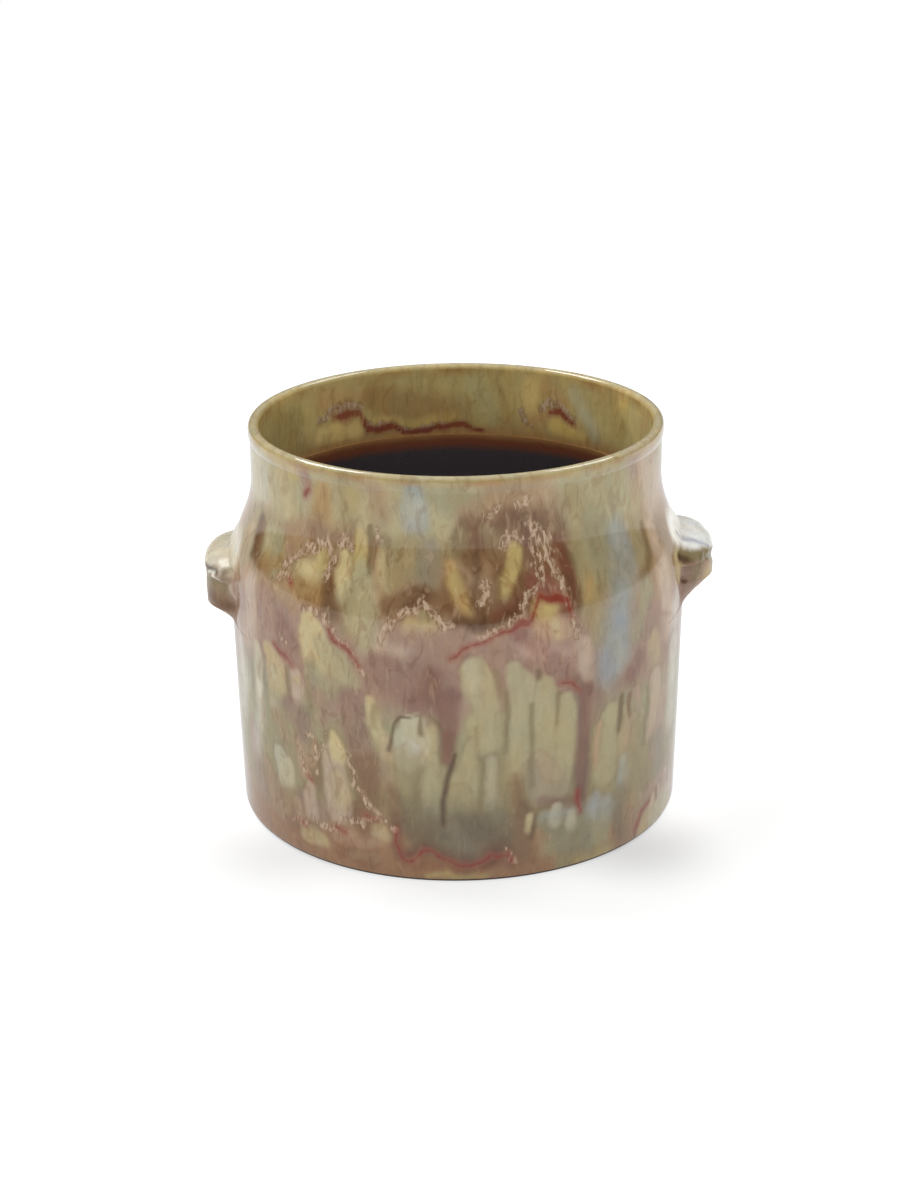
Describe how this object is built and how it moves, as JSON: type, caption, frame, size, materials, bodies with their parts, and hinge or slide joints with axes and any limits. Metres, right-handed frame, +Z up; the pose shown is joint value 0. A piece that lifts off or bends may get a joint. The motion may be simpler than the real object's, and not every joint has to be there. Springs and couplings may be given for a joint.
{
  "type": "glazed planter",
  "caption": "Round glazed stoneware planter with a soft shoulder, a rolled rim, pinched side lugs and a dark glazed hollow.",
  "frame": {"origin": "middle of the flat underside, which is also the axis of the round pot", "axes": "+Z up along the pot's axis, towards the rim; the lugs lie along X, with lug_right on +X"},
  "size_m": [0.2929, 0.262, 0.229],
  "materials": {
    "foot": "satin",
    "glaze": "gloss",
    "rim": "gloss",
    "lug": "gloss",
    "liner": "gloss"
  },
  "bodies": {
    "root": {"base_slab": "foot", "wall": "glaze", "rim_coil": "rim", "liner_glaze": "liner", "lug_left": "lug", "lug_right": "lug"}
  },
  "joints": []
}
